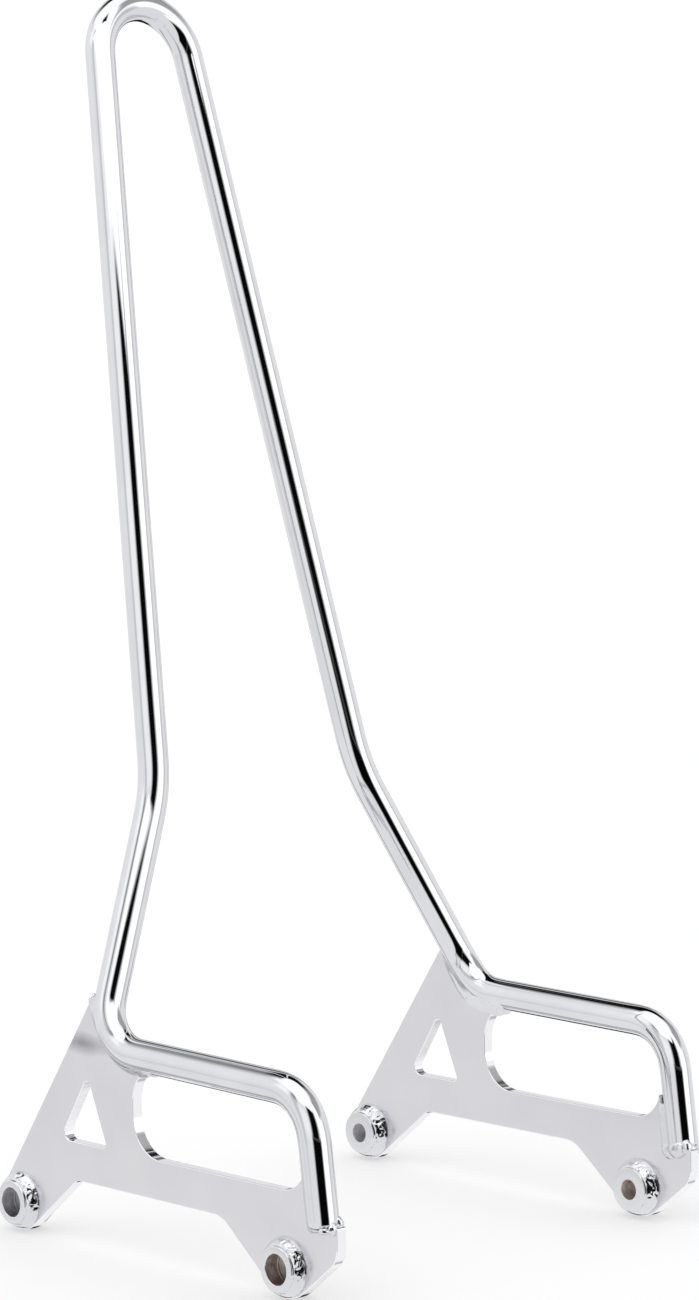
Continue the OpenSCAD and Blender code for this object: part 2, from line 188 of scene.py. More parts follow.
# Mesh helpers
def new_object(name, verts, faces, materials, normals=None, face_mats=None, sharp=None):
    """An object from points in mm. sharp is the angle in degrees above which edges stay sharp."""
    me = bpy.data.meshes.new(name)
    me.from_pydata([tuple(v) for v in np.asarray(verts, float) * MM], [], faces)
    for m in materials:
        me.materials.append(m)
    for p in me.polygons:
        p.use_smooth = True
    if face_mats is not None:
        me.polygons.foreach_set("material_index", face_mats)
    me.update()
    if sharp is not None:
        me.set_sharp_from_angle(angle=math.radians(sharp))
    if normals is not None:
        me.normals_split_custom_set_from_vertices([tuple(n) for n in normals])
    obj = bpy.data.objects.new(name, me)
    bpy.context.scene.collection.objects.link(obj)
    return obj


def loft(rings):
    """Vertices and faces of a closed skin over rings of the same number of points."""
    rings = np.asarray(rings, float)
    n, m, _ = rings.shape
    faces = []
    for i in range(n - 1):
        for j in range(m):
            k = (j + 1) % m
            faces.append((i * m + j, i * m + k, (i + 1) * m + k, (i + 1) * m + j))
    faces.append(tuple(reversed(range(m))))
    faces.append(tuple((n - 1) * m + j for j in range(m)))
    return rings.reshape(-1, 3), faces


def closed_faces(n, m):
    """The faces over n rings of m points whose last ring joins the first one again."""
    return [(i * m + j, i * m + (j + 1) % m, (i + 1) % n * m + (j + 1) % m, (i + 1) % n * m + j)
            for i in range(n) for j in range(m)]


def finish_piece(obj, slot, *nodes):
    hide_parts(*nodes)
    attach(obj, "root")
    return obj


def side_name(side):
    return "left" if side > 0 else "right"


def mirrored(points, side):
    return [p * vec(side, 1, 1) for p in points]


# Smooth noise for shapes, the same on every run
def wobble(seed, harmonics, strength):
    """A smooth closed random curve of one turn, about 0, as a function of the angle."""
    rng = random.Random(seed)
    falloff = 0.7
    terms = [(k, rng.uniform(-1, 1) / k ** falloff, rng.uniform(0, 2 * math.pi)) for k in harmonics]
    size = sum(abs(t[1]) for t in terms) or 1
    return lambda a: strength * sum(w * math.sin(k * a + p) for k, w, p in terms) / size


def lumps(p, size, seed):
    """A smooth random value from about -1 to 1 at a point, with features of size mm."""
    seed_step = 17.3
    return perlin(Vector((p[0] / size + seed_step * seed, p[1] / size, p[2] / size)))


def two_lumps(p, big, small, seed):
    """Lumps of two sizes, the smaller ones lower."""
    return lumps(p, big, seed) + 0.4 * lumps(p, small, seed + 1)


# Shader nodes
class Graph:
    """The nodes of one material or of the world, with short ways to add and join them."""

    def __init__(self, owner):
        owner.use_nodes = True
        self.nodes, self.links = owner.node_tree.nodes, owner.node_tree.links

    def add(self, kind, **values):
        """A new node. A value whose name is an input's goes there, and others are settings."""
        n = self.nodes.new(kind)
        for key, value in values.items():
            if key in n.inputs:
                n.inputs[key].default_value = value
            else:
                setattr(n, key.lower(), value)
        return n

    def put(self, value, socket):
        """A number or a joined output on a socket."""
        if isinstance(value, (int, float)):
            socket.default_value = value
        else:
            self.links.new(value, socket)

    def maths(self, kind, *values):
        n = self.add("ShaderNodeMath", operation=kind)
        for value, socket in zip(values, n.inputs):
            self.put(value, socket)
        return n.outputs[0]

    def dot(self, coord, direction):
        n = self.add("ShaderNodeVectorMath", operation="DOT_PRODUCT")
        self.links.new(coord, n.inputs[0])
        n.inputs[1].default_value = direction
        return n.outputs["Value"]

    def to_range(self, value, given, wanted, smooth=False):
        """A value from the given range, carried over to the wanted one."""
        n = self.add("ShaderNodeMapRange")
        if smooth:
            n.interpolation_type = "SMOOTHSTEP"
        for key, v in zip(("From Min", "From Max", "To Min", "To Max"), (*given, *wanted)):
            n.inputs[key].default_value = v
        self.links.new(value, n.inputs["Value"])
        return n.outputs["Result"]

    def noise(self, coord, scale, detail, rough, stretch=(1, 1, 1)):
        mapping = self.add("ShaderNodeMapping", Scale=stretch)
        n = self.add("ShaderNodeTexNoise", Scale=scale, Detail=detail, Roughness=rough)
        self.links.new(coord, mapping.inputs["Vector"])
        self.links.new(mapping.outputs["Vector"], n.inputs["Vector"])
        return n.outputs["Fac"]

    def ramp(self, value, *stops):
        """The colour at a value, between stops given as (value, colour)."""
        n = self.add("ShaderNodeValToRGB")
        while len(n.color_ramp.elements) < len(stops):
            n.color_ramp.elements.new(0.5)
        for e, (at, colour) in zip(n.color_ramp.elements, stops):
            e.position = at
            e.color = (*colour, 1)
        self.links.new(value, n.inputs["Fac"])
        return n.outputs["Color"]

    def tinted(self, base, tint, factor, blend="MIX"):
        """A colour pulled toward a plain tint by a factor."""
        n = self.add("ShaderNodeMix", data_type="RGBA", blend_type=blend)
        n.inputs["B"].default_value = (*tint, 1)
        self.links.new(factor, n.inputs["Factor"])
        self.links.new(base, n.inputs["A"])
        return n.outputs["Result"]

    def bump(self, height, strength, distance, before=None):
        n = self.add("ShaderNodeBump", Strength=strength, Distance=distance)
        self.links.new(height, n.inputs["Height"])
        if before is not None:
            self.links.new(before, n.inputs["Normal"])
        return n.outputs["Normal"]


def new_metal(name, metallic):
    """A material with its graph, its shader and the object's own coordinates in metres."""
    mat = bpy.data.materials.new(name)
    g = Graph(mat)
    shader = g.nodes["Principled BSDF"]
    shader.inputs["Metallic"].default_value = metallic
    return mat, g, shader, g.add("ShaderNodeTexCoord").outputs["Object"]


def chrome(name, tone, tone_low, rough, wave, grain=0.0, pits=0.0, stretch=(1, 1, 1), painted_reflection=None):
    """Chrome plate over polished or as-welded steel. wave is the depth in metres of the
    slow unevenness that bends reflections, grain that of the fine one, and pits how much
    of the surface is small dark pits. The last argument is the place (y, z) and half sizes
    in metres of a soft dark patch beside a weld, painted in as a dark reflection."""
    mat, g, shader, coord = new_metal(name, 1.0)
    cloud = g.noise(coord, scale=38, detail=4, rough=0.55, stretch=stretch)
    colour = g.ramp(cloud, (0.32, tone_low), (0.62, tone))
    fine = g.noise(coord, scale=900, detail=2, rough=0.6, stretch=stretch)
    roughness = g.to_range(fine, (0.3, 0.75), rough)
    slow = g.noise(coord, scale=55, detail=2, rough=0.4, stretch=stretch)
    normal = g.bump(slow, 1.0, wave)
    if grain:
        close = g.noise(coord, scale=1400, detail=3, rough=0.6, stretch=stretch)
        normal = g.bump(close, 1.0, grain, normal)
    if pits:
        cells = g.add("ShaderNodeTexVoronoi", Scale=1500.0)
        g.links.new(coord, cells.inputs["Vector"])
        where = g.noise(coord, scale=260, detail=2, rough=0.5)
        near = g.to_range(cells.outputs["Distance"], (0.10, 0.26), (1.0, 0.0))
        some = g.to_range(where, (0.62 - pits, 0.70 - pits), (0.0, 1.0))
        pitted = g.maths("MULTIPLY", near, some)
        colour = g.tinted(colour, (0.02, 0.02, 0.022), pitted)
        roughness = g.maths("MAXIMUM", g.to_range(pitted, (0, 1), (0, 0.55)), roughness)
        normal = g.bump(pitted, 0.6, -0.00008, normal)
    # painted reflection: a soft, ragged dark patch painted into the colour
    if painted_reflection:
        (y, z), (half_y, half_z) = painted_reflection
        place = g.add("ShaderNodeMapping", Location=(0, -y / half_y, -z / half_z),
                      Scale=(0, 1 / half_y, 1 / half_z))
        g.links.new(coord, place.inputs["Vector"])
        far = g.add("ShaderNodeVectorMath", operation="LENGTH")
        g.links.new(place.outputs["Vector"], far.inputs[0])
        ragged = g.to_range(g.noise(coord, scale=90, detail=3, rough=0.5), (0.3, 0.7), (-0.14, 0.14))
        uneven = g.maths("ADD", far.outputs["Value"], ragged)
        colour = g.tinted(colour, (0.30, 0.30, 0.33), g.to_range(uneven, (0.1, 1.2), (0.85, 0.0)))
    g.links.new(colour, shader.inputs["Base Color"])
    g.links.new(roughness, shader.inputs["Roughness"])
    g.links.new(normal, shader.inputs["Normal"])
    return mat


def bare_bore(name, low, high, tint):
    """Steel inside a bore, where little chrome reaches: a stain, with painted shade that makes it
    darker toward the bottom.
    """
    mat, g, shader, coord = new_metal(name, 0.25)
    cloud = g.noise(coord, scale=300, detail=5, rough=0.6)
    stain = g.ramp(cloud, (0.34, low), (0.52, high), (0.68, tint))
    place = g.add("ShaderNodeSeparateXYZ")
    g.links.new(coord, place.inputs["Vector"])
    # painted shade: the lower part of the bore is painted darker
    painted_shade_below = g.to_range(place.outputs["Z"], (-0.006, 0.002), (1, 0))
    g.links.new(g.tinted(stain, (0.22, 0.21, 0.22), painted_shade_below, "MULTIPLY"), shader.inputs["Base Color"])
    g.links.new(g.to_range(cloud, (0.3, 0.7), (0.28, 0.5)), shader.inputs["Roughness"])
    g.links.new(g.bump(cloud, 0.5, 0.00002), shader.inputs["Normal"])
    return mat


CHROME = (0.74, 0.745, 0.765), (0.70, 0.705, 0.73)
FLAT_CHROME = (0.75, 0.748, 0.775), (0.72, 0.718, 0.75)
# The cut walls of the plates are painted much lighter than their faces, as painted light, so that they
# show white
CUT_EDGE_PAINTED_LIGHT = (0.93, 0.93, 0.95), (0.87, 0.87, 0.90)
FLAT_ROUGH, FLAT_WAVE = (0.20, 0.25), 0.00002
WELD_ROUGH, END_ROUGH = (0.05, 0.12), (0.17, 0.30)
# The place and half sizes, in metres, of the dark reflection painted on the plates' outer faces beside
# the rear bend
PAINTED_REFLECTION = (0.0400, 0.0712), (0.0190, 0.0043)
bar_chrome = chrome("bar_chrome", *CHROME, (0.02, 0.05), 0.000012)
plate_chrome = chrome("plate_chrome", *FLAT_CHROME, FLAT_ROUGH, FLAT_WAVE)
plate_outer_chrome_painted_reflection = chrome("plate_outer_chrome_painted_reflection", *FLAT_CHROME, FLAT_ROUGH, FLAT_WAVE, painted_reflection=PAINTED_REFLECTION)
edge_chrome_painted_light = chrome("edge_chrome_painted_light", *CUT_EDGE_PAINTED_LIGHT, (0.06, 0.14), 0.00002, 0.00002, stretch=(0.06, 1, 1))
boss_chrome = chrome("boss_chrome", *CHROME, (0.04, 0.09), 0.00001, 0.000003)
weld_chrome = chrome("weld_chrome", *CHROME, WELD_ROUGH, 0.00003, 0.000008, pits=0.04)
seam_chrome = chrome("seam_chrome", *CHROME, WELD_ROUGH, 0.00003, 0.00001, pits=0.02)
end_chrome = chrome("end_chrome", *CHROME, END_ROUGH, 0.00003, 0.00001, pits=0.02)

# The wall of the counterbore, its rings, and the bolt hole: grey at the rear, brown in front.
# The rings are painted much lighter than the wall, as painted highlights, and the bolt hole is painted
# lighter, as painted light against its shade.
bores = {
    "rear": [bare_bore("bore_grey", (0.36, 0.36, 0.38), (0.54, 0.54, 0.57), (0.70, 0.69, 0.72)),
             bare_bore("ring_grey_painted_highlight", (0.84, 0.83, 0.85), (0.94, 0.93, 0.95), (0.98, 0.97, 0.98)),
             bare_bore("hole_grey_painted_light", (0.58, 0.58, 0.60), (0.76, 0.76, 0.78), (0.90, 0.90, 0.92))],
    "front": [bare_bore("bore_brown", (0.27, 0.19, 0.15), (0.46, 0.38, 0.32), (0.66, 0.60, 0.53)),
              bare_bore("ring_brown_painted_highlight", (0.80, 0.74, 0.66), (0.94, 0.90, 0.85), (0.98, 0.97, 0.94)),
              bare_bore("hole_brown_painted_light", (0.42, 0.33, 0.28), (0.64, 0.54, 0.47), (0.84, 0.76, 0.70))],
}

# The bar: one tube along its whole path
BAR_SIDES = 72
END_ROUND = 1.5
ROUND_STEPS = 6
EASE = 3.2
EASED_BELOW = 300


def eased(pts):
    """The path with its bends eased in and out, apart from the hoop's top."""
    steps = np.linalg.norm(np.diff(pts, axis=0), axis=1)
    at = np.concatenate([[0.0], np.cumsum(steps)])
    out = pts.copy()
    for i, p in enumerate(pts):
        reach = min(at[i], at[-1] - at[i])
        if p[2] > EASED_BELOW or reach < 3 * EASE:
            continue
        share = np.gradient(at) * np.exp(-((at - at[i]) / EASE) ** 2 / 2)
        out[i] = (pts * share[:, None]).sum(0) / share.sum()
    return out


def quarter(steps):
    """The angles of a quarter turn, in equal steps."""
    return [math.pi / 2 * k / steps for k in range(steps + 1)]


def make_bar():
    """One tube along the whole path, with rounded ends."""
    pts = eased(bar_path(straight_step=1.5, turn_step=2.0))
    last = len(pts) - 1
    tangents = [unit(pts[1] - pts[0])]
    for i in range(1, last):
        tangents.append(unit(unit(pts[i + 1] - pts[i]) + unit(pts[i] - pts[i - 1])))
    tangents.append(unit(pts[-1] - pts[-2]))
    across = unit(np.cross(tangents[0], vec(1, 0, 0)))
    round_end = [(END_ROUND * (1 - math.cos(a)), END_ROUND * (math.sin(a) - 1))
                 for a in quarter(ROUND_STEPS)]
    rings = []
    for i, (p, t) in enumerate(zip(pts, tangents)):
        across = unit(across - float(across @ t) * t)
        other = np.cross(t, across)
        if i == 0:
            ends = round_end
        elif i == last:
            ends = [(-along, grow) for along, grow in reversed(round_end)]
        elif min(i, last - i) < 2:
            # the rounded end takes the place of its neighbour
            continue
        else:
            ends = [(0.0, 0.0)]
        for along, grow in ends:
            ring = []
            for k in range(BAR_SIDES):
                a = 2 * math.pi * k / BAR_SIDES
                n = math.cos(a) * across + math.sin(a) * other
                ring.append(p + along * t + (BAR_R + grow) * n)
            rings.append(ring)
    verts, faces = loft(rings)
    obj = new_object("hoop_bar_tube", verts, faces, [bar_chrome], sharp=40)
    return finish_piece(obj, "bar", "hoop_bar")


# Outlines in the plate's plane, as (y, z), with angles and steps in degrees
def right_of(d):
    return vec(d[1], -d[0])


def arc2(centre, r, start, end, step=3.0):
    """Points of an arc, both ends included."""
    n = max(2, math.ceil(abs(end - start) / step))
    return [centre + r * vec(math.cos(math.radians(start + (end - start) * k / n)),
                             math.sin(math.radians(start + (end - start) * k / n)))
            for k in range(n + 1)]


def corner_arc(p, c, q, r, step=3.0):
    """The arc of radius r that rounds the corner c between p and q."""
    a, b = unit(c - p), unit(q - c)
    side = 1.0 if a[0] * b[1] - a[1] * b[0] > 0 else -1.0
    t = turn(a, b)
    centre = c - r * math.tan(t / 2) * a + side * r * vec(-a[1], a[0])
    start = math.degrees(math.atan2(-side * a[0], side * a[1]))
    return arc2(centre, r, start, start + side * math.degrees(t), step)


def lobe_corner(centre, r, u, v):
    """Where two edges meet that pass a boss at r, with normals u and v."""
    return centre + r * (u + v) / (1 + float(u @ v))


edge_off = BAR_R + ROOT_GAP
rear_boss = vec(REACH, 0)
front_boss = vec(-REACH, 0)
boss_at = {"rear": rear_boss, "front": front_boss}
rear_normal = vec(math.cos(REAR_ANGLE), math.sin(REAR_ANGLE))
forward_down = vec(-math.sin(LOBE_ANGLE), -math.cos(LOBE_ANGLE))
rearward_down = vec(math.sin(LOBE_ANGLE), -math.cos(LOBE_ANGLE))
leg_up = vec(math.sin(LEG_ANGLE), math.cos(LEG_ANGLE))
leg_back = vec(math.cos(LEG_ANGLE), -math.sin(LEG_ANGLE))
foot = bar_end[1:]

# The tip, where the plate's rear edge meets the lower leg
leg_flat = unit(leg_dir[1:])
leg_edge = bend_end[1:] + edge_off * right_of(leg_flat)
tip = leg_edge + (LOBE_R - float((leg_edge - rear_boss) @ rear_normal)) / float(
    leg_flat @ rear_normal) * leg_flat

# The window, closed on top by the run and in front by the leg
run_flat = unit(run_dir[1:])
run_up = -right_of(run_flat)
win_centre = vec(WIN_Y - WIN_R, WIN_Z + WIN_R + WIN_STRAIGHT)
win_gap = float((rear_corner[1:] - win_centre) @ run_up) - edge_off
win_angle = math.degrees(math.atan2(run_up[1], run_up[0]) - math.acos(win_gap / WIN_R))
front_off = edge_off - BITE + WIN_FRONT_R
front_along = (WIN_Z + WIN_FRONT_R - foot[1] + front_off * math.sin(LEG_ANGLE)) / math.cos(LEG_ANGLE)
win_front = foot + front_along * leg_up + front_off * leg_back
win_leg_angle = 180 - math.degrees(LEG_ANGLE) + math.degrees(
    math.acos((WIN_FRONT_R - BITE) / WIN_FRONT_R))

# The shelf under the bar's end, the front edge, the lobes and the web
shelf_rear = foot + edge_off * leg_back - ROOT_GAP * leg_up
shelf_front = shelf_rear - (FRONT_Y + shelf_rear[0]) / math.cos(LEG_ANGLE) * leg_back
front_low = vec(-FRONT_Y, (FRONT_Y - REACH) * math.tan(LOBE_ANGLE)
                - FRONT_LOBE_REACH / math.cos(LOBE_ANGLE))
web_rear_y = REACH - (WEB_Z + LOBE_R / math.cos(LOBE_ANGLE)) / math.tan(LOBE_ANGLE)
web_front_y = REACH - (WEB_Z + FRONT_LOBE_REACH / math.cos(LOBE_ANGLE)) / math.tan(LOBE_ANGLE)
front_lobe = lobe_corner(front_boss, FRONT_LOBE_REACH, forward_down, rearward_down)
rear_lobe = lobe_corner(rear_boss, LOBE_R, rear_normal, forward_down)


def bend_edge(i):
    """The plate's edge along one of the rear bends, from its upper end."""
    bend = bend_at(i)
    steps = math.ceil(math.degrees(bend["turn"]) / 3)
    out = []
    for k in range(steps, -1, -1):
        p, d = on_bend(bend, bend["turn"] * k / steps)
        out.append(p[1:] + edge_off * right_of(unit(d[1:])))
    return out


def split_long(loop, most):
    """A loop with points added where two lie more than most apart."""
    out = []
    for p, q in zip(loop, loop[1:] + loop[:1]):
        n = max(1, math.ceil(np.linalg.norm(q - p) / most))
        out += [p + (q - p) * k / n for k in range(n)]
    return out


def plate_loop():
    """The plate's outline, from its tip along the bend, round the window, over the shelf and
    down the front edge, and back along the bottom."""
    lower, upper = REAR_BENDS
    bends = bend_edge(upper) + bend_edge(lower)
    window = (arc2(win_centre, WIN_R, win_angle, 0)
              + arc2(vec(win_centre[0], WIN_Z + WIN_R), WIN_R, 0, -90)
              + arc2(win_front, WIN_FRONT_R, 270, win_leg_angle))
    before_window = window[0] + 0.001 * run_flat
    web_front, web_rear = vec(-web_front_y, WEB_Z), vec(web_rear_y, WEB_Z)
    pts = (corner_arc(rear_lobe, tip, bends[0], 0.5, step=12)
           + bends
           + corner_arc(bends[-1], before_window, window[1], 0.3, step=20)[1:]
           + window[1:-1]
           + corner_arc(window[-2], window[-1], shelf_rear, 0.3, step=20)
           + corner_arc(window[-1], shelf_rear, shelf_front, 0.15, step=30)
           + corner_arc(shelf_rear, shelf_front, front_low, 0.8, step=12)
           + corner_arc(shelf_front, front_low, front_lobe, FRONT_CORNER_R)
           + corner_arc(front_low, front_lobe, web_front, FRONT_LOBE_R)
           + corner_arc(front_lobe, web_front, web_rear, FRONT_NOTCH_R)
           + corner_arc(web_front, web_rear, rear_lobe, REAR_NOTCH_R, step=5)
           + corner_arc(web_rear, rear_lobe, tip, LOBE_R))
    same = 0.02
    out = [pts[0]]
    for p in pts[1:]:
        if np.linalg.norm(p - out[-1]) > same:
            out.append(p)
    return split_long(out, most=6.0)


def triangle_loop():
    c = [vec(*p) for p in TRIANGLE]
    pts = []
    for i, r in enumerate(TRIANGLE_R):
        pts += corner_arc(c[i - 1], c[i], c[(i + 1) % 3], r, step=8)
    return split_long(pts, most=5.0)[::-1]


def hole_loop(centre):
    """The hole for a boss, with the root gap round it."""
    r, around = BOSS_R + ROOT_GAP, 96
    return [centre + r * vec(math.cos(a), -math.sin(a))
            for a in (2 * math.pi * k / around for k in range(around))]


def loop_normals(loop):
    """Normals of a loop whose material lies on its left, pointing out of the material."""
    pts = np.array(loop)
    before, after = np.roll(pts, 1, 0), np.roll(pts, -1, 0)
    return np.array([unit(right_of(unit(p - a)) + right_of(unit(b - p)))
                     for p, a, b in zip(pts, before, after)])


def make_plate(side):
    """A flat plate with slightly rounded edges, whose flat faces stay truly flat."""
    edge_r, arc_steps, wall_rows = 0.35, 4, 3
    inner_face, cut, outer_face = range(3)
    flat = PLATE_T / 2 - edge_r
    # across the thickness from the outer face: offset from the middle, from the outline, slope
    rows = [(flat + edge_r * math.sin(a), edge_r * (math.cos(a) - 1), a)
            for a in (math.pi / 2 * (1 - k / arc_steps) for k in range(arc_steps + 1))]
    rows += [(flat * (1 - 2 * k / wall_rows), 0.0, 0.0) for k in range(1, wall_rows)]
    rows += [(-x, off, -a) for x, off, a in reversed(rows[:arc_steps + 1])]
    verts, normals, faces, mats, caps = [], [], [], [], []
    for loop in (plate_loop(), triangle_loop(), hole_loop(rear_boss), hole_loop(front_boss)):
        pts, ns = np.array(loop), loop_normals(loop)
        m = len(pts)
        base = len(verts)
        for x, off, a in rows:
            for p, n in zip(pts, ns):
                q = p + off * n
                verts.append((side * (PLATE_MID + x), q[0], q[1]))
                normals.append((side * math.sin(a), math.cos(a) * n[0], math.cos(a) * n[1]))
        for i in range(len(rows) - 1):
            for j in range(m):
                k = (j + 1) % m
                quad = (base + i * m + j, base + (i + 1) * m + j,
                        base + (i + 1) * m + k, base + i * m + k)
                faces.append(quad if side > 0 else quad[::-1])
                mats.append(cut)
        caps.append((base, m))
    for row, facing, slot in ((0, 1, outer_face), (len(rows) - 1, -1, inner_face)):
        index = [b + row * m + j for b, m in caps for j in range(m)]
        contour = [[Vector((verts[b + row * m + j][1], verts[b + row * m + j][2], 0))
                    for j in range(m)] for b, m in caps]
        for tri in tessellate_polygon(contour):
            t = [index[i] for i in tri]
            p = [np.array(verts[i]) for i in t]
            if np.cross(p[1] - p[0], p[2] - p[0])[0] * facing * side < 0:
                t.reverse()
            faces.append(tuple(t))
            mats.append(slot)
    name = side_name(side) + "_side_plate"
    obj = new_object(name + "_cut", verts, faces, [plate_chrome, edge_chrome_painted_light, plate_outer_chrome_painted_reflection],
                     normals=normals, face_mats=mats)
    return finish_piece(obj, "plate", name)


# Turned bosses, with a rounded rim, a counterbore with rings near its floor, and a bolt hole
BREAK = 0.15
OUTER_RIM_R, OUTER_FACE_R = 0.75, 7.3
INNER_RIM_R, INNER_FACE_R = 0.4, 6.5
# Depths are from the outer end, and a ring is given as steps of depth and of radius
RINGS_FROM = 6.0
RINGS_AT = (6.05, 7.35)
RING = ((0.0, 0.0), (0.12, 0.12), (0.48, 0.12), (0.60, 0.0))
BORE_FOOT = ((0.35, 0.0), (0.08, -0.1), (0.0, -0.4))
HOLE_BREAK = 0.25
HOLE_DEPTHS = (0.25, 2.5, 5.0)


def lathe(profile, side, x0, centre, around=96):
    """Rings about an axis along X: profile is (x from x0, radius), going outward."""
    rings = []
    for x, r in profile:
        ring = [(side * (x0 + x), centre[0] + r * math.cos(2 * math.pi * k / around),
                 centre[1] + r * math.sin(2 * math.pi * k / around)) for k in range(around)]
        rings.append(ring[::-1] if side < 0 else ring)
    return rings


def rim_round(r):
    """The rounding of a boss's rim, as depth from its end and radius."""
    return [(r * (1 - math.cos(a)), BOSS_R - r + r * math.sin(a)) for a in quarter(ROUND_STEPS)]


def make_boss(side, end):
    """A boss, turned from its profile: (x from the inner end, radius), round the section."""
    length = BOSS_IN + PLATE_T + BOSS_OUT
    floor = length - BORE_DEPTH
    inner = [(BREAK, HOLE_R), (0.0, HOLE_R + BREAK), (0.0, INNER_FACE_R)] + rim_round(INNER_RIM_R)
    middle = [(BOSS_IN, BOSS_R), (BOSS_IN + PLATE_T, BOSS_R)]
    outer = [(length - x, r) for x, r in reversed(rim_round(OUTER_RIM_R))]
    outer += [(length, OUTER_FACE_R), (length, BORE_R + BREAK)]
    wall = [(length - BREAK, BORE_R), (length - RINGS_FROM, BORE_R)]
    ringed = [(length - at - deep, BORE_R + wide) for at in RINGS_AT for deep, wide in RING]
    ringed += [(floor + above, BORE_R + wide) for above, wide in BORE_FOOT]
    ringed.append((floor, HOLE_R + HOLE_BREAK))
    hole = [(floor - deep, HOLE_R) for deep in HOLE_DEPTHS]
    profile = inner + middle + outer + wall + ringed + hole
    rings = lathe(profile, side, PLATE_IN - BOSS_IN, boss_at[end])
    n, m = len(rings), len(rings[0])
    outside, in_bore, on_ring, in_hole = range(4)
    bore_from = profile.index(wall[0])
    rings_from, hole_from = bore_from + 1, profile.index(hole[0])
    mats = []
    for i in range(n):
        if i >= hole_from or i == 0:
            kind = in_hole
        elif i >= rings_from and (i - rings_from) % len(RING) != 0:
            kind = on_ring
        else:
            kind = in_bore if i >= bore_from else outside
        mats += [kind] * m
    name = side_name(side) + "_" + end + "_boss"
    obj = new_object(name + "_turned", np.array(rings).reshape(-1, 3), closed_faces(n, m),
                     [boss_chrome] + bores[end], face_mats=mats, sharp=28)
    return finish_piece(obj, "boss", name)


# A bead round a boss: one convex band, lumpy above and toward the front, smooth below
BEAD_AROUND, BEAD_ACROSS = 360, 22
BEAD_W, BEAD_WIDER = 2.75, 0.30
STRAIGHT_SHARE, ROUND_SHARE = 0.45, 0.55
LUMPY_AT = math.radians(140)
LUMPY_SPREAD = 1.1
RIPPLES, RIPPLE_H = 20, 0.03
LUMP_SIZE, LUMP_H, LEAST_LUMP_H = 1.65, 0.42, 0.02
FINE_SIZE, FINE_H = 0.7, 0.08
PUSH_OUT, PUSH_UP = 0.74, 0.67
# How far the edges of every bead are sunk into the metal, so that no gap shows
SUNK = 0.03


def make_boss_weld(side, end, face, seed):
    """The bead round a boss on one face of its plate."""
    centre = boss_at[end]
    web_side = math.radians(120 if end == "rear" else 60)
    width = wobble(seed, range(2, 8), 0.25)
    tall = wobble(seed + 50, range(1, 8), 0.30)
    phase = wobble(seed + 90, range(1, 4), 0.5)
    x_face, up = (PLATE_OUT, 1) if face == "outer" else (PLATE_IN, -1)
    stands = (BOSS_OUT if face == "outer" else BOSS_IN) - 1.0

    def place(a, x, r):
        return side * (x_face + up * x), centre[0] + r * math.cos(a), centre[1] + r * math.sin(a)
    rings = []
    for i in range(BEAD_AROUND):
        a = 2 * math.pi * i / BEAD_AROUND
        off = (a - LUMPY_AT + math.pi) % (2 * math.pi) - math.pi
        lumpy = math.exp(-(off / LUMPY_SPREAD) ** 2)
        w = BEAD_W + BEAD_WIDER * math.cos(a - web_side) + width(a)
        h = stands + tall(a)
        ring = []
        for k in range(BEAD_ACROSS + 1):
            t = k / BEAD_ACROSS
            bow = math.sin(math.pi * t) ** 0.6
            turned = math.pi / 2 * t
            r = BOSS_R - 0.05 + w * (STRAIGHT_SHARE * (1 - t) + ROUND_SHARE * math.cos(turned))
            z = -SUNK + h * (STRAIGHT_SHARE * t + ROUND_SHARE * math.sin(turned))
            p = (r * math.cos(a), r * math.sin(a), z)
            saw = (RIPPLES * a / (2 * math.pi) + phase(a) + 0.35 * bow) % 1.0
            out = bow * (RIPPLE_H * (saw - 0.5)
                         + (LEAST_LUMP_H + LUMP_H * lumpy) * lumps(p, LUMP_SIZE, seed)
                         + FINE_H * lumpy * lumps(p, FINE_SIZE, seed + 1))
            ring.append(place(a, z + out * PUSH_UP, r + out * PUSH_OUT))
        ring.append(place(a, -0.3, BOSS_R - 0.3))
        rings.append(ring)
    faces = closed_faces(BEAD_AROUND, BEAD_ACROSS + 2)
    if side * up < 0:
        faces = [f[::-1] for f in faces]
    name = side_name(side) + "_" + end + "_" + face + "_weld"
    obj = new_object(name + "_bead", np.array(rings).reshape(-1, 3), faces, [weld_chrome])
    return finish_piece(obj, "weld", name)


def blob(centre, sizes, seed, uneven, rows=20, around=32):
    """A lumpy drop of weld metal: vertices and faces."""
    verts, faces = [], []
    for i in range(rows + 1):
        t = math.pi * (i + 0.5) / (rows + 1)
        for k in range(around):
            a = 2 * math.pi * k / around
            n = vec(math.sin(t) * math.cos(a), math.sin(t) * math.sin(a), math.cos(t))
            grow = 1 + uneven * two_lumps(centre + sizes * n, 1.9, 0.9, seed)
            verts.append(centre + sizes * n * grow)
    for i in range(rows):
        for k in range(around):
            m = (k + 1) % around
            faces.append((i * around + k, (i + 1) * around + k, (i + 1) * around + m, i * around + m))
    faces.append(tuple(range(around)))
    faces.append(tuple(rows * around + k for k in reversed(range(around))))
    return verts, faces


